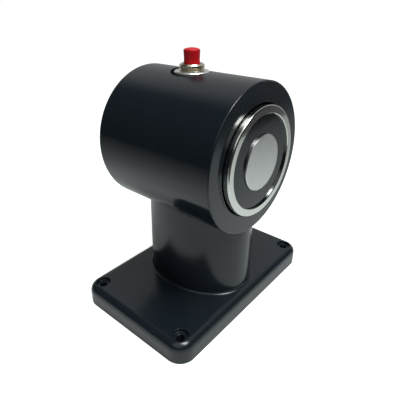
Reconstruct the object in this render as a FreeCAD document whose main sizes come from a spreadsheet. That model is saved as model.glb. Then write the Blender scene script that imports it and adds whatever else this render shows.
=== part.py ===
import FreeCAD, Part
import math
import os
import Sketcher

# Electromagnetic door holder: a cast base, column and barrel, a holding magnet in the barrel's
# front end and a test button on top. Millimetres, +Z up, the magnet faces -Y, and the origin
# is the centre of the base's underside.

doc = FreeCAD.newDocument("door_holder")
Vector = FreeCAD.Vector
Rule = Sketcher.Constraint

SIZES = {
    # Cast base plate
    "base_length": 111.5,
    "base_width": 73,
    "base_thickness": 11.2,
    "base_corner_radius": 8.4,
    "base_edge_round": 4.2,
    "fixing_inset": 7.4,
    "fixing_hole_radius": 2.1,
    "fixing_head_radius": 4,
    "fixing_head_depth": 1.8,
    # Hollow underside and the ledge that the bottom cover lies on
    "underside_wall": 5,
    "underside_depth": 8.5,
    "underside_corner_boss": 7.5,
    "cover_ledge": 1.7,
    "cover_recess": 1.5,
    "cover_thickness": 1.5,
    "cover_gap": 0.2,
    "cover_post_end_inset": 25.75,
    "cover_post_side_inset": 10.5,
    "cover_post_radius": 3.6,
    # Oval column, narrowing upwards by its casting draft
    "column_half_width": 24.2,
    "column_side_inset": 5.2,
    "column_taper": 1.3,
    "column_forward": 0.4,
    "column_foot_round": 1.4,
    "column_wall": 4.6,
    "column_core_draft": 1.5,
    "column_core_top": 53,
    "wire_duct_radius": 7,
    "wire_duct_back": 12,
    # Barrel
    "axis_height": 85,
    "head_radius": 35.5,
    "head_front_setback": 2.5,
    "head_back_setback": 1,
    "head_front_round": 0.6,
    "head_back_round": 1.7,
    "mouth_round": 0.4,
    "bore_gap": 0.5,
    "back_wall": 5,
    "back_boss_radius": 9,
    "back_boss_height": 3,
    "seat_rib_height": 3,
    "seat_rib_width": 5,
    "seat_rib_angle": 45,
    # Holding magnet, measured from the pot's back face
    "pot_radius": 25.8,
    "pot_length": 27,
    "pot_proud": 3,
    "pot_floor": 5,
    "pot_bore_radius": 22.1,
    "pot_edge_round": 0.8,
    "pot_inner_edge": 0.3,
    "pole_radius": 13.15,
    "pole_tenon_radius": 9,
    "pole_edge": 0.3,
    "pole_thread_depth": 14,
    "potting_recess": 1,
    "potting_depth": 2,
    "resin_gap": 0.02,
    "bobbin_gap": 0.2,
    "bobbin_wall": 1.2,
    "winding_gap": 0.05,
    "winding_below_flange": 0.5,
    "lead_hole_radius": 2.8,
    "lead_hole_drop": 17.6,
    # Bolt that draws the magnet back on its seat
    "bolt_radius": 3,
    "bolt_hole_radius": 3.3,
    "bolt_head_radius": 5.25,
    "bolt_head_height": 3.3,
    "bolt_recess_radius": 6.2,
    "bolt_recess_depth": 4.8,
    "bolt_engagement": 11,
    "bolt_socket_radius": 2.3,
    "bolt_socket_depth": 2,
    "bolt_washer_radius": 5.4,
    "bolt_washer_thickness": 1,
    "thread_gap": 0.05,
    # Test button, measured from the barrel's crown
    "button_back": 5,
    "recess_radius": 10.15,
    "recess_depth": 3,
    "switch_boss_radius": 8.2,
    "switch_boss_drop": 1.3,
    "panel_hole_gap": 0.2,
    "nut_radius": 8.4,
    "nut_thickness": 2.8,
    "nut_edge": 0.35,
    "bushing_radius": 6,
    "bushing_above_crown": 3.1,
    "bushing_edge": 0.7,
    "bushing_bore_gap": 0.3,
    "bushing_tenon_radius": 4.6,
    "guide_length": 5,
    "guide_gap": 0.08,
    "cap_radius": 3.9,
    "cap_waist_radius": 3.7,
    "cap_dome": 1.1,
    "cap_above_crown": 9.9,
    "cap_skirt_above_crown": 0.8,
    "stem_radius": 2,
    "stem_spigot_radius": 1.6,
    "stem_spigot_end": 3.2,
    "press_gap": 0.02,
    "spring_coil_radius": 3.05,
    "spring_wire_radius": 0.35,
    "spring_turns": 5,
    "button_washer_radius": 7.4,
    "button_washer_thickness": 0.6,
    # Switch under the button
    "switch_radius": 7,
    "switch_length": 14.4,
    "switch_wall": 1.2,
    "switch_top": 2,
    "switch_base_thickness": 2.5,
    "contact_depth": 7.3,
    "contact_gap": 0.1,
    "contact_thickness": 0.6,
    "contact_width": 3,
    "contact_reach": 2.4,
    "lug_length": 5,
    "bridge_radius": 3.8,
    "bridge_thickness": 0.6,
    "rivet_radius": 1.2,
    "rivet_head_radius": 1.8,
    "rivet_head_height": 0.7,
    "slot_gap": 0.05,
    # Terminal block on the bottom cover
    "block_length": 20,
    "block_depth": 16,
    "block_height": 13,
    "block_to_grommet": 17,
    "clamp_spacing": 9.6,
    "clamp_height": 4.5,
    "clamp_radius": 2.4,
    "clamp_wall": 0.8,
    "clamp_end_gap": 2,
    "clamp_screw_inset": 2,
    "clamp_screw_radius": 1.3,
    "clamp_screw_length": 4.4,
    "clamp_screw_well_radius": 1.9,
    "block_screw_sink": 5,
    "block_screw_tip": 0.75,
    # Screws of the cover and of the terminal block
    "screw_radius": 1.5,
    "screw_hole_gap": 0.2,
    "screw_head_radius": 2.8,
    "screw_head_height": 1.3,
    "cover_screw_length": 7.5,
    "cover_screw_hole_spare": 0.5,
    "screw_slot_width": 0.7,
    "screw_slot_depth": 0.6,
    # Cable grommet in the cover, and the internal leads
    "grommet_inset": 16.5,
    "grommet_neck_radius": 5,
    "grommet_flange_radius": 6.6,
    "grommet_flange_below": 1.2,
    "grommet_flange_above": 1.6,
    "cable_hole_radius": 3.5,
    "lead_radius": 0.8,
    "lead_spacing": 2.4,
    "lead_passage_gap": 0.1,
    "lead_turn_behind_magnet": 5,
    "lead_rise_height": 74,
    "lead_solder_length": 3.5,
    "lead_drop_back": 16,
    "lead_duct_spread": 2.8,
}


def write_sizes():
    """The driving dimensions, one named cell each."""
    sheet = doc.addObject("Spreadsheet::Sheet", "sizes")
    for row, (name, amount) in enumerate(SIZES.items(), start=1):
        sheet.set(f"A{row}", name)
        sheet.set(f"B{row}", str(amount))
        sheet.setAlias(f"B{row}", name)
    doc.recompute()
    return sheet


sheet = write_sizes()


def number(text):
    """The value of a formula in named sizes, worked from left to right: 'pot_length - pot_floor'."""
    total = 0.0
    term = 0.0
    action = "+"
    for word in text.split():
        if word in ("+", "-", "*", "/"):
            action = word
            continue
        amount = sheet.get(word) if word in SIZES else float(word)
        if action in ("+", "-"):
            total += term
            term = amount if action == "+" else -amount
        elif action == "*":
            term *= amount
        else:
            term /= amount
    return total + term


def formula(text):
    """The same formula as the document's objects read it, from the sheet's cells."""
    return " ".join(f"sizes.{word}" if word in SIZES else word for word in text.split())


def bind(item, **formulas):
    """Tie properties of an object to formulas; two underscores stand for a dot."""
    for name, text in formulas.items():
        item.setExpression(name.replace("__", "."), formula(text))


def origin_plane(body, role):
    return next(item for item in body.Origin.OriginFeatures if item.Role == role)


def new_body(label):
    body = doc.addObject("PartDesign::Body", label)
    body.Label = label
    return body


def new_sketch(body, name, role="XY_Plane", lift="0"):
    """A sketch on one of the body's own planes, lifted along the plane's normal."""
    sketch = body.newObject("Sketcher::SketchObject", name)
    sketch.AttachmentSupport = (origin_plane(body, role), [""])
    sketch.MapMode = "FlatFace"
    if lift != "0":
        bind(sketch, AttachmentOffset__Base__z=lift)
    return sketch


def pin(sketch, element, point, across, along):
    """Hold a point of a sketch at two formulas, measured from the sketch's origin."""
    for kind, axis, text in (("DistanceX", -2, across), ("DistanceY", -1, along)):
        if text == "0":
            sketch.addConstraint(Rule("PointOnObject", element, point, axis))
            continue
        index = sketch.addConstraint(Rule(kind, -1, 1, element, point, number(text)))
        sketch.setExpression(f"Constraints[{index}]", formula(text))


def draw_outline(sketch, corners):
    """A closed outline of straight lines through corners given as pairs of formulas."""
    points = [Vector(number(across), number(along), 0) for across, along in corners]
    first = sketch.GeometryCount
    count = len(points)
    for index in range(count):
        line = Part.LineSegment(points[index], points[(index + 1) % count])
        sketch.addGeometry(line, False)
    for index in range(count):
        following = first + (index + 1) % count
        sketch.addConstraint(Rule("Coincident", first + index, 2, following, 1))
    for index, (across, along) in enumerate(corners):
        pin(sketch, first + index, 1, across, along)


def draw_circle(sketch, radius, across="0", along="0"):
    centre = Vector(number(across), number(along), 0)
    element = sketch.addGeometry(Part.Circle(centre, Vector(0, 0, 1), number(radius)), False)
    pin(sketch, element, 3, across, along)
    index = sketch.addConstraint(Rule("Radius", element, number(radius)))
    sketch.setExpression(f"Constraints[{index}]", formula(radius))


def draw_rectangle(sketch, half_width, half_height, across="0", along="0"):
    """An upright rectangle about a centre."""
    left = f"{across} {minus(half_width)}"
    right = f"{across} + {half_width}"
    low = f"{along} {minus(half_height)}"
    high = f"{along} + {half_height}"
    draw_outline(sketch, [(left, low), (right, low), (right, high), (left, high)])


def draw_oval(sketch, half_width, half_depth, along):
    """An ellipse, longer along the sketch's upright axis."""
    wide = number(half_width)
    deep = number(half_depth)
    centre = Vector(0, number(along), 0)
    ellipse = Part.Ellipse(centre + Vector(0, deep, 0), centre + Vector(wide, 0, 0), centre)
    element = sketch.addGeometry(ellipse, False)
    sketch.exposeInternalGeometry(element)
    pin(sketch, element, 3, "0", along)
    sketch.addConstraint(Rule("Vertical", element + 1))
    for axis, text in ((element + 1, half_depth), (element + 2, half_width)):
        index = sketch.addConstraint(Rule("Distance", axis, 1, axis, 2, 2 * number(text)))
        sketch.setExpression(f"Constraints[{index}]", "2 * (" + formula(text) + ")")


def draw_notched_plate(sketch, half_length, half_width, notch):
    """A rectangle whose four corners are cut back by arcs about the fixing holes."""
    centre_x = "base_length / 2 - fixing_inset"
    centre_y = "base_width / 2 - fixing_inset"
    length, width, radius = number(half_length), number(half_width), number(notch)
    x, y = number(centre_x), number(centre_y)
    rise = math.asin((width - y) / radius)
    swing = math.asin((length - x) / radius)
    corners = ((1, 1), (-1, 1), (-1, -1), (1, -1))
    arcs = []
    for turn, (side_x, side_y) in enumerate(corners):
        spread = (rise, swing) if turn % 2 == 0 else (swing, rise)
        start = math.pi - spread[0] + turn * math.pi / 2
        end = 1.5 * math.pi + spread[1] + turn * math.pi / 2
        circle = Part.Circle(Vector(side_x * x, side_y * y, 0), Vector(0, 0, 1), radius)
        arcs.append(Part.ArcOfCircle(circle, start, end))
    lines = []
    for turn in range(4):
        lines.append(Part.LineSegment(arcs[turn - 1].StartPoint, arcs[turn].EndPoint))
    first = sketch.GeometryCount
    for shape in arcs + lines:
        sketch.addGeometry(shape, False)
    for turn, (side_x, side_y) in enumerate(corners):
        arc = first + turn
        line = first + 4 + turn
        sketch.addConstraint(Rule("Coincident", line, 2, arc, 2))
        sketch.addConstraint(Rule("Coincident", line, 1, first + (turn - 1) % 4, 1))
        signs = ["" if side > 0 else "0 - " for side in (side_x, side_y)]
        pin(sketch, arc, 3, mirrored(centre_x, side_x), mirrored(centre_y, side_y))
        index = sketch.addConstraint(Rule("Radius", arc, radius))
        sketch.setExpression(f"Constraints[{index}]", formula(notch))
        upright = turn % 2 == 0
        kind = "DistanceX" if upright else "DistanceY"
        sketch.addConstraint(Rule("Vertical" if upright else "Horizontal", line))
        side = side_x if upright else side_y
        reach = mirrored(half_length if upright else half_width, side)
        index = sketch.addConstraint(Rule(kind, -1, 1, line, 1, number(reach)))
        sketch.setExpression(f"Constraints[{index}]", formula(reach))


def minus(text):
    """A formula's terms with their signs turned, ready to follow another term."""
    flipped = {"+": "-", "-": "+"}
    return "- " + " ".join(flipped.get(word, word) for word in text.split())


def mirrored(text, side):
    """The same distance on the negative side, where side is below nought."""
    return text if side > 0 else "0 " + minus(text)


def below(text):
    """A depth written as a height under nought."""
    return mirrored(text, -1)


def add_feature(body, kind, name, sketch, **formulas):
    """A sketched feature; a cut that removes nothing stops the build."""
    before = body.Shape.Volume if body.Tip else 0.0
    feature = body.newObject("PartDesign::" + kind, name)
    feature.Profile = sketch
    feature.Reversed = formulas.pop("backwards", False)
    if kind in ("Revolution", "Groove"):
        feature.ReferenceAxis = (sketch, ["V_Axis"])
        feature.Angle = 360
    bind(feature, **formulas)
    doc.recompute()
    change = body.Shape.Volume - before
    grows = kind in ("Pad", "Revolution")
    if abs(change) < 0.2 or (change > 0) != grows:
        raise RuntimeError(f"{body.Label}: {name} changes the volume by {change:.3f}")
    return feature


def round_edges(body, name, radius, wanted, kind="Fillet"):
    """Round, or bevel, the edges of the body for which wanted(edge) is true."""
    base = body.Tip
    picked = [f"Edge{n}" for n, edge in enumerate(base.Shape.Edges, start=1) if wanted(edge)]
    if not picked:
        raise RuntimeError(f"{body.Label}: {name} finds no edge")
    feature = body.newObject("PartDesign::" + kind, name)
    feature.Base = (base, picked)
    if kind == "Fillet":
        bind(feature, Radius=radius)
    else:
        bind(feature, Size=radius)
    doc.recompute()
    return feature


def near(first, second, limit=0.001):
    return abs(first - second) < limit


def circle_at(radius, **place):
    """A test for full circles of a radius whose centre has the given coordinates."""

    def test(edge):
        curve = edge.Curve
        if not isinstance(curve, Part.Circle) or not near(curve.Radius, number(radius)):
            return False
        centre = {"x": curve.Center.x, "y": curve.Center.y, "z": curve.Center.z}
        return all(near(centre[axis], number(text)) for axis, text in place.items())

    return test


def turned_piece(label, profile):
    """A body turned about its own upright axis from an outline of (radius, height) pairs."""
    body = new_body(label)
    sketch = new_sketch(body, label + "_profile", "XZ_Plane")
    draw_outline(sketch, profile)
    add_feature(body, "Revolution", label + "_turned", sketch)
    return body


def ring_profile(inner, outer, low, high):
    return [(inner, low), (outer, low), (outer, high), (inner, high)]


# Places that more than one piece works from
COVER_POST_X = "base_length / 2 - cover_post_end_inset"
COVER_POST_Y = "base_width / 2 - cover_post_side_inset"
COLUMN_DEPTH = "base_width / 2 - column_side_inset"
GROMMET_FORWARD = "base_width / 2 - grommet_inset"
BLOCK_FORWARD = GROMMET_FORWARD + " - block_to_grommet"
BORE_RADIUS = "pot_radius + bore_gap"
BARREL_FRONT = "base_width / 2 - head_front_setback"
BARREL_BACK = "base_width / 2 - head_back_setback"
BARREL_LENGTH = "base_width - head_front_setback - head_back_setback"
POT_BACK = "pot_length - pot_proud - base_width / 2 + head_front_setback"
CROWN = "axis_height + head_radius"
SWITCH_SEAT = "head_radius - pot_radius - bore_gap + switch_boss_drop"
SWITCH_TOP = SWITCH_SEAT + " + button_washer_thickness"
SWITCH_END = SWITCH_TOP + " + switch_length"
COVER_TOP = "cover_recess + cover_thickness"


def place_on_barrel_axis(body, back):
    """Lay a turned piece along the barrel, its own height pointing out of the front."""
    body.Placement.Rotation = FreeCAD.Rotation(Vector(1, 0, 0), 90)
    bind(body, Placement__Base__y=back, Placement__Base__z="axis_height")


def place_under_crown(body):
    """Stand a piece of the button on its axis, with its own nought at the barrel's crown."""
    bind(body, Placement__Base__y="button_back", Placement__Base__z=CROWN)


def make_housing():
    """Base plate, oval column and barrel, die cast in one and bored from the front."""
    body = new_body("housing")
    add_base_plate(body)
    add_column(body)
    add_barrel(body)
    cut_bore(body)
    cut_underside(body)
    cut_column_core(body)
    cut_button_recess(body)
    cut_fixing_holes(body)
    cut_bolt_hole(body)
    return body


def add_base_plate(body):
    sketch = new_sketch(body, "base_outline")
    draw_rectangle(sketch, "base_length / 2", "base_width / 2")
    add_feature(body, "Pad", "base_plate", sketch, Length="base_thickness")

    def upright(edge):
        return near(edge.BoundBox.ZLength, number("base_thickness"))

    round_edges(body, "base_corners", "base_corner_radius", upright)

    def top_rim(edge):
        return near(edge.BoundBox.ZMin, number("base_thickness"))

    round_edges(body, "base_top_round", "base_edge_round", top_rim)


def add_column(body):
    foot = new_sketch(body, "column_foot", lift="base_thickness")
    draw_oval(foot, "column_half_width", COLUMN_DEPTH, "0 - column_forward")
    head = new_sketch(body, "column_head", lift="axis_height")
    half_width = "column_half_width - column_taper"
    half_depth = COLUMN_DEPTH + " - column_taper"
    draw_oval(head, half_width, half_depth, "0 - column_forward")
    column = body.newObject("PartDesign::AdditiveLoft", "column")
    column.Profile = foot
    column.Sections = [head]
    column.Ruled = True
    doc.recompute()

    def foot_line(edge):
        box = edge.BoundBox
        flat = near(box.ZMin, number("base_thickness"), 0.01) and box.ZLength < 0.01
        return flat and box.XLength < number("column_half_width * 2 + 1") and box.YLength > 1

    round_edges(body, "column_foot_round", "column_foot_round", foot_line)


def add_barrel(body):
    sketch = new_sketch(body, "barrel_outline", "XZ_Plane", "0 " + minus(BARREL_BACK))
    draw_circle(sketch, "head_radius", "0", "axis_height")
    add_feature(body, "Pad", "barrel", sketch, Length=BARREL_LENGTH)
    back_rim = circle_at("head_radius", y=BARREL_BACK)
    round_edges(body, "barrel_back_round", "head_back_round", back_rim)


def cut_bore(body):
    """The magnet's bore, with a soft mouth, four seat ribs and the boss of the back wall."""
    mouth = new_sketch(body, "bore_outline", "XZ_Plane", BARREL_FRONT)
    draw_circle(mouth, BORE_RADIUS, "0", "axis_height")
    add_feature(body, "Pocket", "magnet_bore", mouth, Length=BARREL_LENGTH + " - back_wall")
    front = "0 " + minus(BARREL_FRONT)
    round_edges(body, "mouth_round", "mouth_round", circle_at(BORE_RADIUS, y=front))
    front_rim = circle_at("head_radius", y=front)
    round_edges(body, "barrel_front_round", "head_front_round", front_rim)

    boss = new_sketch(body, "back_boss_outline", "XZ_Plane", "back_wall " + minus(BARREL_BACK))
    draw_circle(boss, "back_boss_radius", "0", "axis_height")
    add_feature(body, "Pad", "back_boss", boss, Length="back_boss_height")

    rib = new_sketch(body, "seat_rib_outline", "XZ_Plane", "0 " + minus(POT_BACK))
    bind(rib, AttachmentOffset__Base__y="axis_height")
    rib.AttachmentOffset.Rotation = FreeCAD.Rotation(Vector(0, 0, 1), number("seat_rib_angle"))
    inner = BORE_RADIUS + " - seat_rib_height"
    outer = BORE_RADIUS + " + seat_rib_height / 3"
    low = "0 - seat_rib_width / 2"
    high = "seat_rib_width / 2"
    draw_outline(rib, [(inner, low), (outer, low), (outer, high), (inner, high)])
    depth = BARREL_LENGTH + " - back_wall - pot_length + pot_proud"
    pad = add_feature(body, "Pad", "seat_rib", rib, Length=depth, backwards=True)
    pattern = body.newObject("PartDesign::PolarPattern", "seat_ribs")
    pattern.Originals = [pad]
    pattern.Axis = (rib, ["N_Axis"])
    pattern.Angle = 360
    pattern.Occurrences = 4
    body.Tip = pattern
    doc.recompute()


def cut_underside(body):
    """Cored underside with posts for the cover's screws, and the ledge for the cover."""
    core = new_sketch(body, "underside_outline")
    half_length = "base_length / 2 - underside_wall"
    half_width = "base_width / 2 - underside_wall"
    draw_notched_plate(core, half_length, half_width, "underside_corner_boss")
    for side_x in (1, -1):
        for side_y in (1, -1):
            post_x = mirrored(COVER_POST_X, side_x)
            post_y = mirrored(COVER_POST_Y, side_y)
            draw_circle(core, "cover_post_radius", post_x, post_y)
    add_feature(body, "Pocket", "underside", core, Length="underside_depth", backwards=True)

    ledge = new_sketch(body, "cover_ledge_outline")
    notch = "underside_corner_boss - cover_ledge"
    draw_notched_plate(ledge, half_length + " + cover_ledge", half_width + " + cover_ledge", notch)
    add_feature(body, "Pocket", "cover_seat", ledge, Length=COVER_TOP, backwards=True)

    holes = new_sketch(body, "cover_screw_hole_centres")
    for side_x in (1, -1):
        for side_y in (1, -1):
            post_x = mirrored(COVER_POST_X, side_x)
            post_y = mirrored(COVER_POST_Y, side_y)
            draw_circle(holes, "screw_radius + thread_gap", post_x, post_y)
    depth = "cover_recess + cover_screw_length + cover_screw_hole_spare"
    add_feature(body, "Pocket", "cover_screw_holes", holes, Length=depth, backwards=True)


def cut_column_core(body):
    """Hollow column, open below, and the duct that leads its wires up into the barrel."""
    low = new_sketch(body, "column_core_foot")
    half_width = "column_half_width - column_wall"
    half_depth = COLUMN_DEPTH + " - column_wall"
    draw_oval(low, half_width, half_depth, "0 - column_forward")
    high = new_sketch(body, "column_core_head", lift="column_core_top")
    half_width += " - column_core_draft"
    half_depth += " - column_core_draft"
    draw_oval(high, half_width, half_depth, "0 - column_forward")
    before = body.Shape.Volume
    core = body.newObject("PartDesign::SubtractiveLoft", "column_core")
    core.Profile = low
    core.Sections = [high]
    core.Ruled = True
    doc.recompute()
    if body.Shape.Volume >= before:
        raise RuntimeError("the column's core removes nothing")

    duct = new_sketch(body, "wire_duct_outline", lift="column_core_top - 1")
    draw_circle(duct, "wire_duct_radius", "0", "wire_duct_back")
    length = "axis_height - column_core_top"
    add_feature(body, "Pocket", "wire_duct", duct, Length=length, backwards=True)


def cut_button_recess(body):
    """Flat recess on the crown, a flat boss inside under it, and the hole through both."""
    boss_top = CROWN + " - head_radius + pot_radius + bore_gap - switch_boss_drop"
    boss = new_sketch(body, "switch_boss_outline", lift=boss_top)
    draw_circle(boss, "switch_boss_radius", "0", "button_back")
    add_feature(body, "Pad", "switch_boss", boss, Length="switch_boss_drop * 2")

    recess = new_sketch(body, "button_recess_outline", lift=CROWN)
    draw_circle(recess, "recess_radius", "0", "button_back")
    add_feature(body, "Pocket", "button_recess", recess, Length="recess_depth")

    hole = new_sketch(body, "panel_hole_outline", lift=CROWN)
    draw_circle(hole, "bushing_radius + panel_hole_gap", "0", "button_back")
    add_feature(body, "Pocket", "panel_hole", hole, Length="head_radius")


def cut_fixing_holes(body):
    """Four counterbored holes near the base's corners."""
    centres = new_sketch(body, "fixing_hole_centres", lift="base_thickness")
    for side_x in (1, -1):
        for side_y in (1, -1):
            across = mirrored("base_length / 2 - fixing_inset", side_x)
            along = mirrored("base_width / 2 - fixing_inset", side_y)
            draw_circle(centres, "fixing_hole_radius", across, along)
    doc.recompute()
    hole = body.newObject("PartDesign::Hole", "fixing_holes")
    hole.Profile = centres
    hole.DepthType = "ThroughAll"
    hole.DrillPoint = "Flat"
    hole.HoleCutType = "Counterbore"
    bind(hole, Diameter="fixing_hole_radius * 2", HoleCutDiameter="fixing_head_radius * 2")
    bind(hole, HoleCutDepth="fixing_head_depth")
    doc.recompute()


def cut_bolt_hole(body):
    """Sunk hole in the barrel's back for the magnet's bolt."""
    back = "0 " + minus(BARREL_BACK)
    sunk = new_sketch(body, "bolt_recess_outline", "XZ_Plane", back)
    draw_circle(sunk, "bolt_recess_radius", "0", "axis_height")
    add_feature(body, "Pocket", "bolt_recess", sunk, Length="bolt_recess_depth", backwards=True)
    hole = new_sketch(body, "bolt_hole_outline", "XZ_Plane", back)
    draw_circle(hole, "bolt_hole_radius", "0", "axis_height")
    depth = "back_wall + back_boss_height + 1"
    add_feature(body, "Pocket", "bolt_hole", hole, Length=depth, backwards=True)


def make_magnet():
    """Pot, pole core, coil and resin, each turned about the magnet's axis."""
    hub = "pole_tenon_radius + resin_gap"
    pot = turned_piece("magnet_pot", [
        (hub, "0"), ("pot_radius", "0"), ("pot_radius", "pot_length"),
        ("pot_bore_radius", "pot_length"), ("pot_bore_radius", "pot_floor"), (hub, "pot_floor"),
    ])
    front_rim = circle_at("pot_radius", z="pot_length")
    round_edges(pot, "pot_front_round", "pot_edge_round", front_rim)
    inner_rim = circle_at("pot_bore_radius", z="pot_length")
    round_edges(pot, "pot_inner_bevel", "pot_inner_edge", inner_rim, "Chamfer")
    leads = new_sketch(pot, "lead_hole_outline")
    draw_circle(leads, "lead_hole_radius", "0", "0 - lead_hole_drop")
    add_feature(pot, "Pocket", "lead_hole", leads, Length="pot_floor + 1", backwards=True)

    thread = "bolt_radius + thread_gap"
    core = turned_piece("pole_core", [
        (thread, "0"), ("pole_tenon_radius", "0"), ("pole_tenon_radius", "pot_floor"),
        ("pole_radius", "pot_floor"), ("pole_radius", "pot_length"), ("0", "pot_length"),
        ("0", "pole_thread_depth"), (thread, "pole_thread_depth"),
    ])
    core_rim = circle_at("pole_radius", z="pot_length")
    round_edges(core, "pole_edge", "pole_edge", core_rim, "Chamfer")

    coil_end = "pot_length - potting_recess - potting_depth"
    hub = "pole_radius + bobbin_gap"
    drum = "pole_radius + bobbin_gap + bobbin_wall"
    flange = "pot_bore_radius - bobbin_gap"
    lower = "pot_floor + bobbin_wall"
    upper = coil_end + " - bobbin_wall"
    bobbin = turned_piece("coil_bobbin", [
        (hub, "pot_floor"), (flange, "pot_floor"), (flange, lower), (drum, lower),
        (drum, upper), (flange, upper), (flange, coil_end), (hub, coil_end),
    ])
    holes = new_sketch(bobbin, "flange_hole_outline")
    for side in (1, -1):
        across = mirrored("lead_spacing / 2", side)
        draw_circle(holes, "lead_radius + lead_passage_gap", across, "0 - lead_hole_drop")
    add_feature(bobbin, "Pocket", "flange_holes", holes, Length=lower, backwards=True)
    winding = turned_piece("coil_winding", ring_profile(
        drum + " + winding_gap", flange + " - winding_below_flange",
        lower + " + winding_gap", upper + " - winding_gap"))
    potting = turned_piece("potting_ring", ring_profile(
        "pole_radius + resin_gap", "pot_bore_radius - resin_gap",
        coil_end, "pot_length - potting_recess"))
    pieces = [pot, core, bobbin, winding, potting]
    for piece in pieces:
        place_on_barrel_axis(piece, POT_BACK)
    return pieces


def make_magnet_bolt():
    """Button head bolt through the barrel's back wall, with its washer."""
    seat = "bolt_recess_depth - bolt_washer_thickness"
    end = BARREL_LENGTH + " - pot_length + pot_proud + bolt_engagement"
    bolt = turned_piece("magnet_bolt", [
        ("0", seat + " - bolt_head_height"), ("bolt_head_radius * 0.62", seat + " - bolt_head_height"),
        ("bolt_head_radius", seat + " - bolt_head_height * 0.35"), ("bolt_head_radius", seat),
        ("bolt_radius", seat), ("bolt_radius", end), ("0", end),
    ])
    socket = new_sketch(bolt, "bolt_socket_outline", lift=seat + " - bolt_head_height")
    draw_hexagon(socket, "bolt_socket_radius")
    add_feature(bolt, "Pocket", "bolt_socket", socket, Length="bolt_socket_depth", backwards=True)
    washer = turned_piece("magnet_spring_washer", ring_profile(
        "bolt_hole_radius", "bolt_washer_radius", seat, "bolt_recess_depth"))
    pieces = [bolt, washer]
    for piece in pieces:
        place_on_barrel_axis(piece, BARREL_BACK)
    return pieces


def draw_hexagon(sketch, radius):
    """A regular hexagon about the origin, held by a circle through its corners."""
    size = number(radius)
    points = [Vector(size * math.cos(turn * math.pi / 3), size * math.sin(turn * math.pi / 3), 0)
              for turn in range(6)]
    for turn in range(6):
        sketch.addGeometry(Part.LineSegment(points[turn], points[(turn + 1) % 6]), False)
    circle = sketch.addGeometry(Part.Circle(Vector(0, 0, 0), Vector(0, 0, 1), size), True)
    for turn in range(6):
        sketch.addConstraint(Rule("Coincident", turn, 2, (turn + 1) % 6, 1))
        sketch.addConstraint(Rule("PointOnObject", turn, 1, circle))
    for turn in range(5):
        sketch.addConstraint(Rule("Equal", turn, turn + 1))
    sketch.addConstraint(Rule("Coincident", circle, 3, -1, 1))
    sketch.addConstraint(Rule("PointOnObject", 0, 1, -1))
    index = sketch.addConstraint(Rule("Radius", circle, size))
    sketch.setExpression(f"Constraints[{index}]", formula(radius))


def make_button():
    """Cap, stem, bushing, nut and washer of the test button, and the contact disc on the stem."""
    skirt = "cap_skirt_above_crown"
    spigot = "cap_above_crown - stem_spigot_end"
    hole = "stem_spigot_radius + press_gap"
    shoulder = "cap_above_crown - cap_dome"
    waist = "cap_above_crown / 2"
    cap = turned_piece("button_cap", [
        (hole, skirt), ("cap_radius", skirt), ("cap_waist_radius", waist),
        ("cap_radius", shoulder), ("0", shoulder), ("0", spigot + " + press_gap"),
        (hole, spigot + " + press_gap"),
    ])
    dome = cap.newObject("PartDesign::AdditiveEllipsoid", "cap_dome_cap")
    dome.Angle1 = 0
    bind(dome, Radius1="cap_dome", Radius2="cap_radius", Radius3="cap_radius")
    dome.AttachmentSupport = (origin_plane(cap, "XY_Plane"), [""])
    dome.MapMode = "ObjectXY"
    bind(dome, AttachmentOffset__Base__z=shoulder)
    doc.recompute()
    if not near(cap.Shape.BoundBox.ZMax, number("cap_above_crown")):
        raise RuntimeError("the cap's dome doesn't end at its height")

    bridge_top = below(SWITCH_TOP + " + contact_depth + contact_gap")
    bridge_low = bridge_top + " - bridge_thickness"
    rivet_end = bridge_low + " - rivet_head_height"
    plunger = turned_piece("button_plunger", [
        ("0", rivet_end), ("rivet_head_radius", rivet_end), ("rivet_head_radius", bridge_low),
        ("rivet_radius", bridge_low), ("rivet_radius", bridge_top), ("stem_radius", bridge_top),
        ("stem_radius", skirt), ("stem_spigot_radius", skirt), ("stem_spigot_radius", spigot),
        ("0", spigot),
    ])
    bridge = turned_piece("contact_bridge", ring_profile(
        "rivet_radius + press_gap", "bridge_radius", bridge_low, bridge_top))

    top = "bushing_above_crown"
    seat = below(SWITCH_TOP)
    end = seat + " - switch_top"
    bore = "cap_radius + bushing_bore_gap"
    guide = "stem_radius + guide_gap"
    bushing = turned_piece("button_bushing", [
        (guide, end), ("bushing_tenon_radius", end), ("bushing_tenon_radius", seat),
        ("bushing_radius", seat), ("bushing_radius", top), (bore, top),
        (bore, end + " + guide_length"), (guide, end + " + guide_length"),
    ])
    top_rim = circle_at("bushing_radius", z=top)
    round_edges(bushing, "bushing_bevel", "bushing_edge", top_rim, "Chamfer")

    nut = turned_piece("panel_nut", ring_profile(
        "bushing_radius + thread_gap", "nut_radius", "0 - recess_depth",
        "0 - recess_depth + nut_thickness"))
    top_rim = circle_at("nut_radius", z="0 - recess_depth + nut_thickness")
    round_edges(nut, "nut_bevel", "nut_edge", top_rim, "Chamfer")
    washer = turned_piece("button_washer", ring_profile(
        "bushing_radius + panel_hole_gap", "button_washer_radius", seat, below(SWITCH_SEAT)))

    pieces = [cap, plunger, bridge, bushing, nut, washer]
    for piece in pieces:
        place_under_crown(piece)
    return pieces


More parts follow.
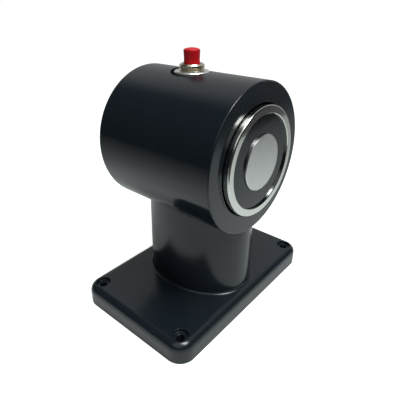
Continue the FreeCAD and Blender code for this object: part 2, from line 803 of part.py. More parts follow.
def make_button_spring():
    """Return spring between the bushing's guide and the cap's skirt."""
    foot = SWITCH_TOP + " + switch_top - guide_length"
    height = "cap_skirt_above_crown + " + foot + " - spring_wire_radius - spring_wire_radius"
    coil = doc.addObject("Part::Helix", "spring_line")
    bind(coil, Radius="spring_coil_radius", Height=height)
    coil.setExpression("Pitch", "(" + formula(height) + ") / sizes.spring_turns")
    bind(coil, Placement__Base__y="button_back")
    bind(coil, Placement__Base__z=CROWN + " " + minus(foot) + " + spring_wire_radius")
    section = doc.addObject("Part::Circle", "spring_section")
    section.Placement.Rotation = FreeCAD.Rotation(Vector(1, 0, 0), 90)
    bind(section, Radius="spring_wire_radius", Placement__Base__x="spring_coil_radius")
    bind(section, Placement__Base__y="button_back")
    bind(section, Placement__Base__z=CROWN + " " + minus(foot) + " + spring_wire_radius")
    spring = doc.addObject("Part::Sweep", "button_spring")
    spring.Label = "button_spring"
    spring.Sections = [section]
    spring.Spine = (coil, [])
    spring.Solid = True
    spring.Frenet = True
    doc.recompute()
    return spring


def make_switch():
    """Moulded case and base of the switch that the button opens, and its contact strips."""
    top = below(SWITCH_TOP)
    end = below(SWITCH_END)
    inside = "switch_radius - switch_wall"
    tenon_hole = "bushing_tenon_radius + press_gap"
    case = turned_piece("switch_body", [
        (tenon_hole, top), ("switch_radius", top), ("switch_radius", end), (inside, end),
        (inside, top + " - switch_top"), (tenon_hole, top + " - switch_top"),
    ])

    base = new_body("switch_base")
    disc = new_sketch(base, "switch_base_outline", lift=end)
    draw_circle(disc, inside + " - slot_gap")
    add_feature(base, "Pad", "switch_base_disc", disc, Length="switch_base_thickness")
    slots = new_sketch(base, "strip_slot_outline", lift=end)
    strip_middle = "bridge_radius + contact_gap * 5 + contact_thickness / 2"
    for side in (1, -1):
        half_width = "contact_thickness / 2 + slot_gap"
        half_height = "contact_width / 2 + slot_gap"
        draw_rectangle(slots, half_width, half_height, mirrored(strip_middle, side))
    depth = "switch_base_thickness"
    add_feature(base, "Pocket", "strip_slots", slots, Length=depth, backwards=True)

    strips = []
    inner = "bridge_radius + contact_gap * 5"
    outer = inner + " + contact_thickness"
    contact = below(SWITCH_TOP + " + contact_depth")
    tip = end + " - lug_length"
    for turn in (0, 180):
        strip = new_body(f"contact_strip_{turn}")
        sketch = new_sketch(strip, strip.Label + "_outline", "XZ_Plane", "0 - contact_width / 2")
        draw_outline(sketch, [
            (inner, tip), (outer, tip), (outer, contact + " + contact_thickness"),
            ("contact_reach", contact + " + contact_thickness"),
            ("contact_reach", contact), (inner, contact),
        ])
        add_feature(strip, "Pad", strip.Label + "_pad", sketch, Length="contact_width")
        strip.Placement.Rotation = FreeCAD.Rotation(Vector(0, 0, 1), turn)
        place_under_crown(strip)
        strips.append(strip)
    terminals = group("switch_terminals", strips)
    for piece in (case, base):
        place_under_crown(piece)
    return [case, base, terminals]


def group(label, members):
    """Alike pieces kept together under one name."""
    compound = doc.addObject("Part::Compound", label)
    compound.Label = label
    compound.Links = members
    doc.recompute()
    return compound


def make_cover():
    """Steel plate that closes the underside, its four screws and the cable's grommet."""
    cover = new_body("bottom_cover")
    outline = new_sketch(cover, "cover_outline", lift="cover_recess")
    half_length = "base_length / 2 - underside_wall + cover_ledge - cover_gap"
    half_width = "base_width / 2 - underside_wall + cover_ledge - cover_gap"
    notch = "underside_corner_boss - cover_ledge + cover_gap"
    draw_notched_plate(outline, half_length, half_width, notch)
    add_feature(cover, "Pad", "cover_plate", outline, Length="cover_thickness")
    holes = new_sketch(cover, "cover_hole_outline", lift="cover_recess")
    for side_x in (1, -1):
        for side_y in (1, -1):
            post_x = mirrored(COVER_POST_X, side_x)
            post_y = mirrored(COVER_POST_Y, side_y)
            draw_circle(holes, "screw_radius + screw_hole_gap", post_x, post_y)
    draw_circle(holes, "grommet_neck_radius + press_gap", "0", below(GROMMET_FORWARD))
    draw_circle(holes, "screw_radius + thread_gap", "0", below(BLOCK_FORWARD))
    add_feature(cover, "Pocket", "cover_holes", holes, Length="cover_thickness", backwards=True)

    screws = []
    for side_x in (1, -1):
        for side_y in (1, -1):
            screw = make_screw(f"cover_screw_{len(screws) + 1}", "cover_screw_length")
            bind(screw, Placement__Base__x=mirrored(COVER_POST_X, side_x))
            bind(screw, Placement__Base__y=mirrored(COVER_POST_Y, side_y))
            bind(screw, Placement__Base__z="cover_recess")
            screws.append(screw)

    flange_low = "cover_recess - grommet_flange_below"
    flange_high = COVER_TOP + " + grommet_flange_above"
    grommet = turned_piece("cable_grommet", [
        ("cable_hole_radius", flange_low), ("grommet_flange_radius", flange_low),
        ("grommet_flange_radius", "cover_recess"), ("grommet_neck_radius", "cover_recess"),
        ("grommet_neck_radius", COVER_TOP), ("grommet_flange_radius", COVER_TOP),
        ("grommet_flange_radius", flange_high), ("cable_hole_radius", flange_high),
    ])
    bind(grommet, Placement__Base__y=below(GROMMET_FORWARD))
    return [cover, group("cover_screws", screws), grommet]


def make_screw(label, length):
    """Slotted pan head screw, head downwards, with its own nought under the head."""
    head = "0 - screw_head_height"
    screw = turned_piece(label, [
        ("0", head), ("screw_head_radius * 0.75", head),
        ("screw_head_radius", head + " + screw_head_height * 0.45"), ("screw_head_radius", "0"),
        ("screw_radius", "0"), ("screw_radius", length), ("0", length),
    ])
    cut_slot(screw, "screw_slot_width / 2", "screw_head_radius + 1", head, True)
    return screw


def cut_slot(screw, half_width, half_length, height, upwards):
    """Driver slot across the end of a screw."""
    sketch = new_sketch(screw, screw.Label + "_slot_outline", lift=height)
    draw_rectangle(sketch, half_length, half_width)
    name = screw.Label + "_slot"
    add_feature(screw, "Pocket", name, sketch, Length="screw_slot_depth", backwards=upwards)


def make_terminal_block():
    """Two-way connector that stands on the cover, with its brass clamps and screws."""
    block = new_body("terminal_block")
    outline = new_sketch(block, "block_outline")
    draw_rectangle(outline, "block_length / 2", "block_depth / 2")
    add_feature(block, "Pad", "block_solid", outline, Length="block_height")
    bores = new_sketch(block, "clamp_bore_outline", "XZ_Plane", "block_depth / 2")
    for side in (1, -1):
        across = mirrored("clamp_spacing / 2", side)
        draw_circle(bores, "clamp_radius + slot_gap", across, "clamp_height")
    add_feature(block, "Pocket", "clamp_bores", bores, Length="block_depth")
    screw_y = "block_depth / 2 - clamp_end_gap - clamp_screw_inset"
    wells = new_sketch(block, "screw_well_outline", lift="block_height")
    for side_x in (1, -1):
        for side_y in (1, -1):
            across = mirrored("clamp_spacing / 2", side_x)
            draw_circle(wells, "clamp_screw_well_radius", across, mirrored(screw_y, side_y))
    add_feature(block, "Pocket", "screw_wells", wells, Length="block_height - clamp_height")
    centre = new_sketch(block, "block_screw_hole_outline", lift="block_height")
    draw_circle(centre, "screw_radius + screw_hole_gap")
    add_feature(block, "Pocket", "block_screw_hole", centre, Length="block_height")
    sink = new_sketch(block, "block_screw_sink_outline", lift="block_height")
    draw_circle(sink, "screw_head_radius + screw_hole_gap")
    add_feature(block, "Pocket", "block_screw_recess", sink, Length="block_screw_sink")
    bind(block, Placement__Base__y=below(BLOCK_FORWARD), Placement__Base__z=COVER_TOP)

    clamps = []
    screws = []
    clamp_length = "block_depth - clamp_end_gap * 2"
    axis_z = COVER_TOP + " + clamp_height"
    for side in (1, -1):
        across = mirrored("clamp_spacing / 2", side)
        clamp = turned_piece(f"clamp_{len(clamps) + 1}", ring_profile(
            "clamp_radius - clamp_wall", "clamp_radius", "0", clamp_length))
        taps = new_sketch(clamp, clamp.Label + "_tap_outline", "XZ_Plane")
        for along in ("clamp_screw_inset", clamp_length + " - clamp_screw_inset"):
            draw_circle(taps, "clamp_screw_radius + thread_gap", "0", along)
        add_feature(clamp, "Pocket", clamp.Label + "_taps", taps, Length="clamp_radius + 1")
        clamp.Placement.Rotation = FreeCAD.Rotation(Vector(1, 0, 0), 90)
        bind(clamp, Placement__Base__x=across, Placement__Base__z=axis_z)
        bind(clamp, Placement__Base__y="block_depth / 2 - clamp_end_gap " + minus(BLOCK_FORWARD))
        clamps.append(clamp)
        for side_y in (1, -1):
            screw = turned_piece(f"clamp_screw_{len(screws) + 1}", [
                ("0", "0"), ("clamp_screw_radius", "0"),
                ("clamp_screw_radius", "clamp_screw_length"), ("0", "clamp_screw_length"),
            ])
            half_length = "clamp_screw_radius + 1"
            cut_slot(screw, "screw_slot_width / 2", half_length, "clamp_screw_length", False)
            bind(screw, Placement__Base__x=across)
            bind(screw, Placement__Base__y=mirrored(screw_y, side_y) + " " + minus(BLOCK_FORWARD))
            bind(screw, Placement__Base__z=axis_z + " + lead_radius + thread_gap")
            screws.append(screw)

    length = "block_height - block_screw_sink + cover_thickness + block_screw_tip"
    block_screw = make_screw("block_screw", length)
    block_screw.Placement.Rotation = FreeCAD.Rotation(Vector(1, 0, 0), 180)
    bind(block_screw, Placement__Base__y=below(BLOCK_FORWARD))
    bind(block_screw, Placement__Base__z=COVER_TOP + " + block_height - block_screw_sink")
    return [block, group("terminal_clamps", clamps), group("terminal_screws", screws), block_screw]


def make_lead(label, corners):
    """A wire along straight runs with a tangent arc, as large as its runs allow, at each corner."""
    points = [Vector(number(x), number(y), number(z)) for x, y, z in corners]
    radius = number("lead_radius")
    edges = []
    start = points[0]
    length = 0.0
    for index in range(1, len(points) - 1):
        corner = points[index]
        arriving = corner - points[index - 1]
        leaving = points[index + 1] - corner
        half_turn = arriving.getAngle(leaving) / 2
        setback = 0.45 * min(arriving.Length, leaving.Length)
        bend = setback / math.tan(half_turn)
        arriving.normalize()
        leaving.normalize()
        first = corner - arriving * setback
        last = corner + leaving * setback
        inwards = leaving - arriving
        inwards.normalize()
        middle = corner + inwards * (bend / math.cos(half_turn) - bend)
        edges.append(Part.LineSegment(start, first).toShape())
        edges.append(Part.Arc(first, middle, last).toShape())
        length += (first - start).Length + 2 * half_turn * bend
        start = last
        print(f"{label}: corner {index} bends at {bend:.1f} mm")
    edges.append(Part.LineSegment(start, points[-1]).toShape())
    length += (points[-1] - start).Length
    path = Part.Wire(edges)
    section = Part.Wire([Part.Circle(points[0], points[1] - points[0], radius).toShape()])
    lead = doc.addObject("Part::Feature", label)
    lead.Label = label
    lead.Shape = path.makePipeShell([section], True, False)
    expected = math.pi * radius * radius * length
    if abs(lead.Shape.Volume / expected - 1) > 0.01:
        raise RuntimeError(f"{label}: volume {lead.Shape.Volume:.1f} for a length of {length:.1f}")
    print(f"{label}: length {length:.1f} mm")
    return lead


def make_leads():
    """The three internal wires: coil to switch, coil to connector and switch to connector."""
    coil_y = POT_BACK + " - pot_floor - bobbin_wall + lead_passage_gap"
    coil_z = "axis_height - lead_hole_drop"
    turn_y = POT_BACK + " + lead_turn_behind_magnet"
    lug_x = "bridge_radius + contact_gap * 5 + contact_thickness + lead_radius + slot_gap"
    lug_end = CROWN + " " + minus(SWITCH_END)
    solder_top = lug_end + " - lug_length + lead_solder_length"
    clamp_z = COVER_TOP + " + clamp_height"
    clamp_x = "clamp_spacing / 2"
    clamp_y = "block_depth / 2 - clamp_end_gap - clamp_screw_inset * 2 " + minus(BLOCK_FORWARD)
    duct_z = "column_core_top + wire_duct_radius"
    left_lug = below(lug_x)
    coil_to_switch = make_lead("coil_to_switch_lead", [
        ("0 - lead_spacing / 2", coil_y, coil_z), ("0 - lead_spacing / 2", turn_y, coil_z),
        (left_lug, "button_back", "lead_rise_height"), (left_lug, "button_back", solder_top),
    ])
    coil_to_block = make_lead("coil_to_block_lead", [
        ("lead_spacing / 2", coil_y, coil_z), ("lead_spacing / 2", turn_y + " + 8", coil_z),
        ("0 - lead_duct_spread", "wire_duct_back", duct_z),
        ("0 - lead_duct_spread", "wire_duct_back", "column_core_top - 8"),
        (below(clamp_x), "lead_drop_back", clamp_z + " + 16"),
        (below(clamp_x), "lead_drop_back", clamp_z), (below(clamp_x), clamp_y, clamp_z),
    ])
    switch_to_block = make_lead("switch_to_block_lead", [
        (lug_x, "button_back", solder_top), (lug_x, "button_back", "lead_rise_height + 4"),
        ("lead_duct_spread", "wire_duct_back", duct_z + " + 3"),
        ("lead_duct_spread", "wire_duct_back", "column_core_top - 8"),
        (clamp_x, "lead_drop_back", clamp_z + " + 16"),
        (clamp_x, "lead_drop_back", clamp_z), (clamp_x, clamp_y, clamp_z),
    ])
    return [coil_to_switch, coil_to_block, switch_to_block]


def check_and_write(pieces):
    """Stop on any unsound shape, then write one STEP file for each piece."""
    doc.recompute()
    for item in doc.Objects:
        if "Invalid" in item.State or "Error" in item.State:
            raise RuntimeError(f"{item.Label} is in the state {item.State}")
    os.makedirs("parts", exist_ok=True)
    for piece in pieces:
        shape = piece.Shape
        if shape.isNull() or not shape.isValid() or not shape.Solids:
            raise RuntimeError(f"{piece.Label} has no sound solid")
        shape.exportStep(f"parts/{piece.Label}.step")
        facets = len(shape.tessellate(0.1)[1])
        print(f"{piece.Label}: {shape.Volume:.1f} mm3, {len(shape.Solids)} solid, {facets} facets")


check_and_write(
    [make_housing()]
    + make_magnet()
    + make_magnet_bolt()
    + make_button()
    + [make_button_spring()]
    + make_switch()
    + make_cover()
    + make_terminal_block()
    + make_leads()
)
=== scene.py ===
import bmesh
import bpy
import math
from mathutils import Matrix, Vector


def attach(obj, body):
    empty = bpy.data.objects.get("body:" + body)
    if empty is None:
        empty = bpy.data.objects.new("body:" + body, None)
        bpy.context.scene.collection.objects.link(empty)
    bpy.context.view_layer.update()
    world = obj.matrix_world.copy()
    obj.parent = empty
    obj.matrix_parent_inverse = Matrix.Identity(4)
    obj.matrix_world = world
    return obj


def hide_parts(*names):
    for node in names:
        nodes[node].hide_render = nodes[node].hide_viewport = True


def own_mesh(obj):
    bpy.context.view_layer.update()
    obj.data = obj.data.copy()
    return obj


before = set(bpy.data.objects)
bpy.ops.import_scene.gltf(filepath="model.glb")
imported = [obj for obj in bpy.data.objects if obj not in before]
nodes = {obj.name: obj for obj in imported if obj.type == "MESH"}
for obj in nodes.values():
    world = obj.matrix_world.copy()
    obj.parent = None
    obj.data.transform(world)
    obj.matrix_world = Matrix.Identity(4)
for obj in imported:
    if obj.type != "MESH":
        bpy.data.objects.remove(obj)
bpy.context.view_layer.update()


# Housing
# One zinc die casting: base plate, oval column and barrel, bored from the front for the magnet.
# It is sprayed with a blue-black enamel, smoothest on the barrel's side and duller on its crown.
def new_material(name, base, roughness, metallic=0.0, **sockets):
    """A Principled material and its shader, with values of further inputs by name."""
    material = bpy.data.materials.new(name)
    material.use_nodes = True
    shader = material.node_tree.nodes["Principled BSDF"]
    shader.inputs["Base Color"].default_value = (*base, 1)
    shader.inputs["Roughness"].default_value = roughness
    shader.inputs["Metallic"].default_value = metallic
    for socket, value in sockets.items():
        shader.inputs[socket.replace("_", " ")].default_value = value
    return material, shader


def add_node(material, kind, **inputs):
    """A node of a kind, with the values of its inputs by name."""
    node = material.node_tree.nodes.new(kind)
    for socket, value in inputs.items():
        node.inputs[socket.replace("_", " ")].default_value = value
    return node


def join(material, source, target):
    material.node_tree.links.new(source, target)


def object_noise(material, scale, detail=2.0, stretch=None):
    """Noise that stays with the piece, in its own metres, at a scale in waves per metre."""
    place = add_node(material, "ShaderNodeTexCoord")
    noise = add_node(material, "ShaderNodeTexNoise", Scale=scale, Detail=detail)
    if stretch is None:
        join(material, place.outputs["Object"], noise.inputs["Vector"])
    else:
        mapping = add_node(material, "ShaderNodeMapping", Scale=stretch)
        join(material, place.outputs["Object"], mapping.inputs["Vector"])
        join(material, mapping.outputs["Vector"], noise.inputs["Vector"])
    return noise.outputs["Fac"]


def between(material, factor, low, high):
    """A value that runs from low to high with a factor."""
    spread = add_node(material, "ShaderNodeMapRange", To_Min=low, To_Max=high)
    join(material, factor, spread.inputs["Value"])
    return spread.outputs["Result"]


def operate(material, operation, first, second):
    """The sum, product or other result of two sockets, or of a socket and a number."""
    node = material.node_tree.nodes.new("ShaderNodeMath")
    node.operation = operation
    for value, socket in ((first, node.inputs[0]), (second, node.inputs[1])):
        if isinstance(value, (int, float)):
            socket.default_value = value
        else:
            join(material, value, socket)
    return node.outputs[0]


def blend_colours(material, factor, first, second):
    """A colour between two, by a factor. The node's colours are inputs 6 and 7 and output 2."""
    mix = material.node_tree.nodes.new("ShaderNodeMix")
    mix.data_type = "RGBA"
    mix.inputs[6].default_value = (*first, 1)
    mix.inputs[7].default_value = (*second, 1)
    join(material, factor, mix.inputs[0])
    return mix.outputs[2]


def ripple(material, shader, height, depth):
    """Relief of a depth in metres from a height signal."""
    bump = add_node(material, "ShaderNodeBump", Strength=1.0, Distance=depth)
    join(material, height, bump.inputs["Height"])
    join(material, bump.outputs["Normal"], shader.inputs["Normal"])
    return bump


def dress(material, *names):
    """Give a material to every slot of the named pieces of the frame."""
    for name in names:
        slots = nodes[name].data.materials
        for index in range(max(1, len(slots))):
            if len(slots) > index:
                slots[index] = material
            else:
                slots.append(material)


enamel_base = (0.0085, 0.0135, 0.0185)
enamel_light = (0.0105, 0.0160, 0.0220)
plate_roughness = 0.21
barrel_roughness = 0.14
crown_roughness = 0.26
column_neck = 0.048
barrel_underside = 0.06
crown_start = 0.11
crown_end = 0.119
orange_peel = 0.00003
paint_round = 0.0004
enamel, enamel_shader = new_material("blue_black_enamel", enamel_base, barrel_roughness)
spray = object_noise(enamel, 90.0, 3.0)
enamel_colour = blend_colours(enamel, spray, enamel_base, enamel_light)
join(enamel, enamel_colour, enamel_shader.inputs["Base Color"])
height = add_node(enamel, "ShaderNodeSeparateXYZ")
join(enamel, add_node(enamel, "ShaderNodeTexCoord").outputs["Object"], height.inputs[0])
polish = add_node(enamel, "ShaderNodeMapRange", From_Min=column_neck, From_Max=barrel_underside,
                  To_Min=plate_roughness, To_Max=barrel_roughness)
join(enamel, height.outputs["Z"], polish.inputs["Value"])
crown = add_node(enamel, "ShaderNodeMapRange", From_Min=crown_start, From_Max=crown_end,
                 To_Min=barrel_roughness, To_Max=crown_roughness)
join(enamel, height.outputs["Z"], crown.inputs["Value"])
sheen = operate(enamel, "MAXIMUM", polish.outputs["Result"], crown.outputs["Result"])
join(enamel, sheen, enamel_shader.inputs["Roughness"])
peel = ripple(enamel, enamel_shader, object_noise(enamel, 260.0, 2.0), orange_peel)
paint_edge = add_node(enamel, "ShaderNodeBevel", Radius=paint_round)
paint_edge.samples = 6
join(enamel, paint_edge.outputs["Normal"], peel.inputs["Normal"])
dress(enamel, "housing")


# Magnet pot
# Turned from soft magnetic steel and chromed: the cup that carries the field round the coil.
# The ring of its mouth stands out of the barrel and is lapped bright where the armature seats.
chrome_base = (0.63, 0.65, 0.615)
chrome, chrome_shader = new_material("lapped_chrome", chrome_base, 0.08, 1.0)
turning = object_noise(chrome, 1400.0, 2.0, (1.0, 0.05, 1.0))
join(chrome, between(chrome, turning, 0.05, 0.1), chrome_shader.inputs["Roughness"])
dress(chrome, "magnet_pot")


# Pole core
# Soft steel bar set in the pot's floor and drawn tight by the magnet's bolt. Its end face is
# ground flush with the ring.
core_base = (0.62, 0.635, 0.63)
core_steel, core_shader = new_material("ground_core_steel", core_base, 0.28, 1.0)
grinding = object_noise(core_steel, 300.0, 2.0)
join(core_steel, between(core_steel, grinding, 0.26, 0.3), core_shader.inputs["Roughness"])
dress(core_steel, "pole_core")


# Coil
# Enamelled copper wire wound on a moulded nylon bobbin, all of it out of sight in the pot. The
# terminal block in the foot is moulded from the same nylon.
copper, copper_shader = new_material("enamelled_copper", (0.55, 0.22, 0.09), 0.35, 1.0)
turns = add_node(copper, "ShaderNodeTexWave", Scale=900.0)
turns.bands_direction = "Y"
place = add_node(copper, "ShaderNodeTexCoord")
join(copper, place.outputs["Object"], turns.inputs["Vector"])
ripple(copper, copper_shader, turns.outputs["Fac"], 0.0001)
dress(copper, "coil_winding")
nylon, nylon_shader = new_material("natural_nylon", (0.62, 0.58, 0.48), 0.45)
join(nylon, between(nylon, object_noise(nylon, 300.0), 0.4, 0.5), nylon_shader.inputs["Roughness"])
dress(nylon, "coil_bobbin", "terminal_block")


# Potting
# Black casting resin poured level between the ring and the core; it seals the coil.
resin_black = (0.003, 0.0055, 0.008)
resin_gloss = (0.9, 0.95, 1, 1)
resin, resin_shader = new_material("potting_resin", resin_black, 0.12, Specular_IOR_Level=0.45,
                                   Specular_Tint=resin_gloss)
cure = object_noise(resin, 120.0, 3.0)
join(resin, between(resin, cure, 0.08, 0.14), resin_shader.inputs["Roughness"])
ripple(resin, resin_shader, cure, 0.00003)
dress(resin, "potting_ring")


# Fasteners and cover
# Zinc plated steel: the magnet's bolt and washer, the screws, and the plate under the base.
zinc, zinc_shader = new_material("zinc_plate", (0.5, 0.52, 0.54), 0.35, 1.0)
spangle = object_noise(zinc, 500.0, 3.0)
join(zinc, between(zinc, spangle, 0.28, 0.45), zinc_shader.inputs["Roughness"])
dress(zinc, "magnet_bolt", "magnet_spring_washer", "button_washer", "terminal_screws")
dress(zinc, "block_screw", "cover_screws")
sheet_zinc, sheet_shader = new_material("zinc_plated_sheet", (0.46, 0.47, 0.48), 0.4, 1.0)
rolled = object_noise(sheet_zinc, 260.0, 3.0, (0.15, 1.0, 1.0))
join(sheet_zinc, between(sheet_zinc, rolled, 0.3, 0.5), sheet_shader.inputs["Roughness"])
dress(sheet_zinc, "bottom_cover")


# Switch
# Phenolic case and base with stamped brass strips; the disc on the stem bridges them at rest.
phenolic, phenolic_shader = new_material("moulded_phenolic", (0.012, 0.012, 0.012), 0.45)
flow = object_noise(phenolic, 400.0)
join(phenolic, between(phenolic, flow, 0.4, 0.55), phenolic_shader.inputs["Roughness"])
dress(phenolic, "switch_body", "switch_base")
brass, brass_shader = new_material("stamped_brass", (0.65, 0.45, 0.16), 0.3, 1.0)
join(brass, between(brass, object_noise(brass, 700.0), 0.25, 0.4), brass_shader.inputs["Roughness"])
dress(brass, "switch_terminals", "contact_bridge", "terminal_clamps")


# Button bushing
# Turned and nickel plated: a tube with a fine outside thread that ends under a plain bevelled
# rim. A duller nut holds it in the recess, and its tenon is pressed into the switch below.
nickel_base = (0.72, 0.68, 0.55)
nickel, nickel_shader = new_material("nickel_plate", nickel_base, 0.2, 1.0)
tarnish = object_noise(nickel, 700.0, 3.0)
join(nickel, between(nickel, tarnish, 0.16, 0.3), nickel_shader.inputs["Roughness"])
dress(nickel, "button_bushing")
nut_base = (0.84, 0.845, 0.83)
nut_nickel, nut_shader = new_material("dull_nickel_plate", nut_base, 0.4, 1.0)
join(nut_nickel, between(nut_nickel, object_noise(nut_nickel, 500.0), 0.36, 0.46),
     nut_shader.inputs["Roughness"])
dress(nut_nickel, "panel_nut")

button_axis = Vector((0, 0.005, 0))
tenon_end = 0.1074
tenon_radius = 0.0046
thread_low = 0.1094
thread_high = 0.1226
thread_root = 0.00545
thread_crest = 0.0060
thread_pitch = 0.001
ridge_share = 0.9
ridge_sunk = 0.0002
bevel_low = 0.1229
rim_height = 0.1236
rim_radius = 0.0053
bore_radius = 0.0042
bore_floor = 0.1124
guide_radius = 0.00208
steps_a_turn = 48


def outline(mesh, points, axis):
    """A closed loop of edges through points that are a radius and a height, beside an axis."""
    corners = [mesh.verts.new(axis + Vector((radius, 0, height))) for radius, height in points]
    return [mesh.edges.new((corner, corners[index - 1])) for index, corner in enumerate(corners)]


def turn_round(mesh, edges, axis, steps):
    """Revolve a closed loop once about an upright axis."""
    ends = list({corner for edge in edges for corner in edge.verts})
    bmesh.ops.spin(mesh, geom=edges + ends, cent=axis, axis=(0, 0, 1), angle=math.tau,
                   steps=steps, use_merge=True)


def new_piece(name, mesh, material, sharp=35.0):
    """An object from a bmesh, smooth but for edges sharper than an angle in degrees."""
    bmesh.ops.recalc_face_normals(mesh, faces=mesh.faces)
    shape = bpy.data.meshes.new(name)
    mesh.to_mesh(shape)
    mesh.free()
    shape.shade_smooth()
    shape.set_sharp_from_angle(angle=math.radians(sharp))
    shape.materials.append(material)
    piece = bpy.data.objects.new(name, shape)
    bpy.context.scene.collection.objects.link(piece)
    return piece


tube = bmesh.new()
wall = outline(tube, [(guide_radius, tenon_end), (tenon_radius, tenon_end), (tenon_radius, thread_low),
                      (thread_root, thread_low), (thread_root, thread_high),
                      (thread_crest, thread_high), (thread_crest, bevel_low),
                      (rim_radius, rim_height), (bore_radius, rim_height), (bore_radius, bore_floor),
                      (guide_radius, bore_floor)], button_axis)
turn_round(tube, wall, button_axis, 2 * steps_a_turn)

thread_turns = (thread_high - thread_low) / thread_pitch - ridge_share
buried = thread_root - ridge_sunk
# The corners of the thread's ridge, each by its radius and its share of the pitch.
ridge_profile = [(buried, 0.0), (thread_root, 0.05), (thread_crest, 0.43), (thread_crest, 0.53),
                 (thread_root, 0.91), (buried, 0.96)]
ridge = outline(tube, [(radius, thread_low + share * thread_pitch) for radius, share in ridge_profile],
                button_axis)
ridge_steps = round(thread_turns * steps_a_turn)
ridge_start = list({corner for edge in ridge for corner in edge.verts})
swept = bmesh.ops.spin(tube, geom=ridge + ridge_start, cent=button_axis, axis=(0, 0, 1),
                       dvec=(0, 0, thread_pitch / steps_a_turn),
                       angle=math.tau * ridge_steps / steps_a_turn, steps=ridge_steps)
ridge_end = [part for part in swept["geom_last"] if isinstance(part, bmesh.types.BMEdge)]
bmesh.ops.contextual_create(tube, geom=ridge)
bmesh.ops.contextual_create(tube, geom=ridge_end)
threaded_bushing = new_piece("threaded_bushing", tube, nickel)
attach(threaded_bushing, "holder")
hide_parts("button_bushing")


# Button cap, stem and spring
# A moulded red cap pressed on a drawn steel stem, held up by a coil spring in the bushing. The
# spring stands on the bushing's guide; in the real button it grows shorter as the cap goes down, but
# here it only gets a mesh of its own and keeps its length.
cap_red = (0.64, 0.009, 0.016)
red_plastic, red_shader = new_material("red_cap_plastic", cap_red, 0.4, Specular_IOR_Level=0.3)
join(red_plastic, between(red_plastic, object_noise(red_plastic, 500.0), 0.36, 0.46),
     red_shader.inputs["Roughness"])
dress(red_plastic, "button_cap")
steel, steel_shader = new_material("drawn_steel", (0.42, 0.42, 0.43), 0.28, 1.0)
drawn = object_noise(steel, 1500.0, 2.0, (1.0, 1.0, 0.05))
join(steel, between(steel, drawn, 0.2, 0.35), steel_shader.inputs["Roughness"])
dress(steel, "button_plunger", "button_spring")
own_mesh(nodes["button_spring"])


# Leads and grommet
# Vinyl covered flexible wires inside the column, and a black rubber grommet for the supply.
vinyl_red, vinyl_red_shader = new_material("red_vinyl", (0.45, 0.01, 0.01), 0.4)
join(vinyl_red, between(vinyl_red, object_noise(vinyl_red, 600.0), 0.35, 0.5),
     vinyl_red_shader.inputs["Roughness"])
dress(vinyl_red, "coil_to_switch_lead", "switch_to_block_lead")
vinyl_black, vinyl_black_shader = new_material("black_vinyl", (0.012, 0.012, 0.013), 0.4)
join(vinyl_black, between(vinyl_black, object_noise(vinyl_black, 600.0), 0.35, 0.5),
     vinyl_black_shader.inputs["Roughness"])
dress(vinyl_black, "coil_to_block_lead")
rubber, rubber_shader = new_material("grommet_rubber", (0.018, 0.018, 0.018), 0.6)
join(rubber, between(rubber, object_noise(rubber, 500.0), 0.55, 0.7), rubber_shader.inputs["Roughness"])
dress(rubber, "cable_grommet")


# Floor
# A sheet of white paper that ends a good hand's width before the magnet, a little further forward
# on the right. Its colour is painted darker with the distance, as painted shade for the lamp's falloff,
# and near the magnet it glows in reflections as a painted reflection. The camera sees it white where
# no shadow lies.
paper_front = -0.195
front_bend = 0.15
right_front = -0.255
paper_reach = 0.9
paper = bpy.data.meshes.new("floor")
build = bmesh.new()
corners = [(-paper_reach, paper_front), (front_bend, paper_front), (paper_reach, right_front),
           (paper_reach, paper_reach), (-paper_reach, paper_reach)]
build.faces.new([build.verts.new((x, y, 0)) for x, y in corners])
build.to_mesh(paper)
build.free()
floor = bpy.data.objects.new("floor", paper)
bpy.context.scene.collection.objects.link(floor)


near_white = (0.76, 0.81, 0.8)
# Painted shade: the paper's far colour, and how fast it darkens, stand in for the lamp's falloff.
painted_shade_far_grey = (0.02, 0.02, 0.02)
painted_shade_reach = 0.14
painted_shade_fading = 0.75
# Painted reflection: how strongly the paper glows where only reflections see it.
painted_reflection_glow = 0.05
seen_glow = 0.8
paper_with_painted_shade, paper_shader = new_material("white_paper_painted_shade", near_white, 0.9)
place = add_node(paper_with_painted_shade, "ShaderNodeTexCoord")
distance = paper_with_painted_shade.node_tree.nodes.new("ShaderNodeVectorMath")
distance.operation = "LENGTH"
join(paper_with_painted_shade, place.outputs["Object"], distance.inputs[0])
# Painted shade: the paper's colour runs from white near the magnet to dark grey far off, in place of
# the lamp's falloff.
painted_light_ratio = operate(paper_with_painted_shade, "DIVIDE", painted_shade_reach, distance.outputs["Value"])
painted_light_nearness = operate(paper_with_painted_shade, "POWER", operate(paper_with_painted_shade, "MINIMUM", painted_light_ratio, 1.0), painted_shade_fading)
painted_shade_paper_colour = blend_colours(paper_with_painted_shade, painted_light_nearness, painted_shade_far_grey, near_white)
join(paper_with_painted_shade, painted_shade_paper_colour, paper_shader.inputs["Base Color"])
ray = add_node(paper_with_painted_shade, "ShaderNodeLightPath")
# Painted reflection: glossy rays see the paper glow, brightest near the magnet. The camera's share only
# makes the backdrop white.
painted_reflection_fade = operate(paper_with_painted_shade, "MULTIPLY", painted_light_nearness, painted_reflection_glow)
painted_reflection_part = operate(paper_with_painted_shade, "MULTIPLY", ray.outputs["Is Glossy Ray"], painted_reflection_fade)
camera_rise = between(paper_with_painted_shade, painted_light_nearness, 1.0, seen_glow)
camera_part = operate(paper_with_painted_shade, "MULTIPLY", ray.outputs["Is Camera Ray"], camera_rise)
white_and_painted_glow = operate(paper_with_painted_shade, "ADD", painted_reflection_part, camera_part)
paper_shader.inputs["Emission Color"].default_value = (1, 1, 1, 1)
join(paper_with_painted_shade, white_and_painted_glow, paper_shader.inputs["Emission Strength"])
paper.materials.append(paper_with_painted_shade)


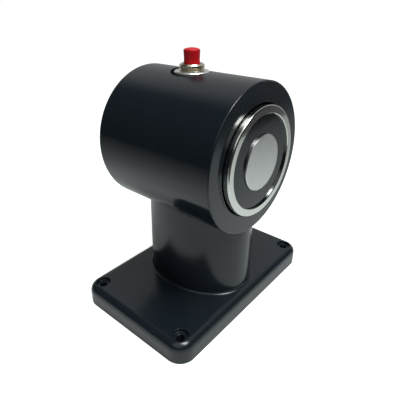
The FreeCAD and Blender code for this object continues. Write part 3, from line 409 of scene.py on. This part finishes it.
# Studio
# A pale wall behind on the right, a bright patch of ceiling, a dark room on the camera's side,
# and one soft lamp high up before the magnet. The camera itself sees white beyond the paper.
world = bpy.data.worlds.new("studio")
bpy.context.scene.world = world
world.use_nodes = True
background = world.node_tree.nodes["Background"]
background.inputs["Color"].default_value = (1, 1, 1, 1)


def rise(value, low, high):
    """A soft step of a value from 0 at low to 1 at high."""
    step = add_node(world, "ShaderNodeMapRange", From_Min=low, From_Max=high)
    step.interpolation_type = "SMOOTHSTEP"
    join(world, value, step.inputs["Value"])
    return step.outputs["Result"]


wall_light = 0.42
room_light = 0.03
front_floor_light = 0.04
ceiling_glow = 0.8
towards_ceiling_glow = (-0.48, -0.21, 0.85)
direction = add_node(world, "ShaderNodeTexCoord")
axes = add_node(world, "ShaderNodeSeparateXYZ")
join(world, direction.outputs["Generated"], axes.inputs[0])
to_right = rise(axes.outputs["X"], -0.12, 0.3)
to_back = rise(axes.outputs["Y"], -0.52, -0.1)
wall = operate(world, "MULTIPLY", to_right, to_back)
to_front = rise(operate(world, "MULTIPLY", axes.outputs["Y"], -1.0), 0.1, 0.4)
downwards = rise(operate(world, "MULTIPLY", axes.outputs["Z"], -1.0), 0.0, 0.15)
front_floor = operate(world, "MULTIPLY", to_front, downwards)
wall_part = operate(world, "MULTIPLY", wall, wall_light)
floor_part = operate(world, "MULTIPLY", front_floor, front_floor_light)
overhead = world.node_tree.nodes.new("ShaderNodeVectorMath")
overhead.operation = "DOT_PRODUCT"
overhead.inputs[1].default_value = towards_ceiling_glow
join(world, direction.outputs["Generated"], overhead.inputs[0])
ceiling_part = operate(world, "MULTIPLY", rise(overhead.outputs["Value"], 0.8, 0.97), ceiling_glow)
lit = operate(world, "ADD", wall_part, floor_part)
high = operate(world, "ADD", lit, ceiling_part)
room = operate(world, "ADD", high, room_light)
path = add_node(world, "ShaderNodeLightPath")
strength = operate(world, "MAXIMUM", room, path.outputs["Is Camera Ray"])
join(world, strength, background.inputs["Strength"])


def softbox(name, towards_lamp, distance, width, height, power):
    """A rectangular lamp in a direction from the object's middle, facing it."""
    aim = Vector((0, 0, 0.06))
    lamp = bpy.data.lights.new(name, "AREA")
    lamp.shape = "RECTANGLE"
    lamp.size = width
    lamp.size_y = height
    lamp.energy = power
    lantern = bpy.data.objects.new(name, lamp)
    lantern.location = aim + Vector(towards_lamp).normalized() * distance
    lantern.rotation_euler = (aim - lantern.location).to_track_quat("-Z", "Y").to_euler()
    bpy.context.scene.collection.objects.link(lantern)


towards_front_lamp = (0.03, -0.4, 0.9)
softbox("front_lamp_middle", towards_front_lamp, 0.9, 0.24, 0.38, 3.2)
softbox("front_lamp_edge", towards_front_lamp, 0.92, 0.38, 0.56, 2.6)
softbox("front_lamp_rim", towards_front_lamp, 0.94, 0.55, 0.75, 1.4)


# Camera
# It stands off the left front corner, a little above the barrel, as in the photograph.
camera_place = (-0.139036, -0.117342, 0.151071)
camera_azimuth = -49.869
camera_elevation = 28.2942
camera_roll = 0.1638
focal_length = 34.1354
sensor_side = 36.0
lens = bpy.data.cameras.new("camera")
lens.sensor_width = sensor_side
lens.lens = focal_length
lens.clip_start = 0.005
camera = bpy.data.objects.new("camera", lens)
camera.location = camera_place
turn = Matrix.Rotation(math.radians(camera_azimuth), 4, "Z")
tilt = Matrix.Rotation(math.radians(90 - camera_elevation), 4, "X")
roll = Matrix.Rotation(math.radians(camera_roll), 4, "Z")
camera.matrix_world = Matrix.Translation(camera_place) @ turn @ tilt @ roll
bpy.context.scene.collection.objects.link(camera)
bpy.context.scene.camera = camera
bpy.context.scene.view_settings.view_transform = "Standard"
